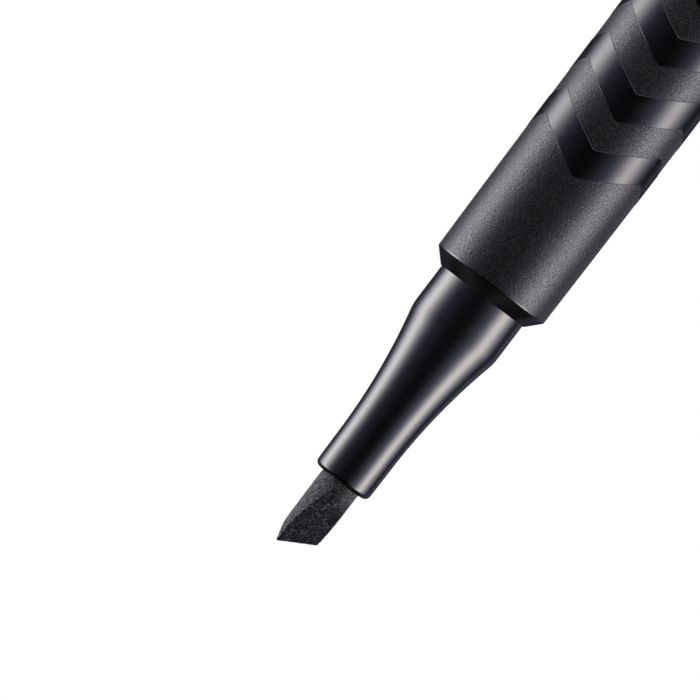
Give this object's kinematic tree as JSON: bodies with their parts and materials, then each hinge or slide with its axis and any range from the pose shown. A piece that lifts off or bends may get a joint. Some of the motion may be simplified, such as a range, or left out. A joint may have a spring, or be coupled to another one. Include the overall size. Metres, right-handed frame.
{
  "type": "pen eyeliner",
  "caption": "Slim round pen eyeliner with a slanted felt chisel nib, tapered gloss neck, crowned barrel and a pull-off cap pushed onto its tail.",
  "frame": {"origin": "centre of the cap's closed end face, on which the pen stands with its cap on the tail", "axes": "+Z along the pen from the cap to the nib; -Y is the side from which the wide face of the chisel nib is seen; +X is the side on which the slanted nib edge reaches furthest"},
  "size_m": [0.0112, 0.0112, 0.1563],
  "materials": {
    "satin_coat": "satin black coat with gloss chevron bands",
    "gloss_moulding": "high gloss black injection moulding",
    "felt": "inked compressed felt",
    "white_moulding": "fine matt moulding",
    "natural_moulding": "uncoloured moulding",
    "wick_fibre": "bonded fibre rod",
    "steel": "bright steel"
  },
  "bodies": {
    "cap": {"cap_shell": "satin_coat", "cap_liner": "white_moulding", "cap_spring": "steel"},
    "inner_cap": {"inner_cap": "natural_moulding"},
    "pen": {"barrel": "satin_coat", "ink_tank": "natural_moulding", "nose_section": "gloss_moulding", "nib": "felt", "nib_holder": "white_moulding", "feed_wick": "wick_fibre", "collector": "white_moulding", "tail_plug": "gloss_moulding"},
    "mixing_ball": {"mixing_ball": "steel"}
  },
  "joints": [
    {"name": "cap_slide", "type": "slide", "parent": "cap", "child": "pen", "axis": [0, 0, 1], "range_m": [0, 0.012]},
    {"name": "ball_slide", "type": "slide", "parent": "pen", "child": "mixing_ball", "axis": [0, 0, 1], "range_m": [0, 0.0485]},
    {"name": "inner_cap_slide", "type": "slide", "parent": "cap", "child": "inner_cap", "axis": [0, 0, -1], "range_m": [0, 0.0015], "stiffness_N_per_m": 200, "springref_m": -0.002, "deforming": ["cap_spring"]}
  ]
}
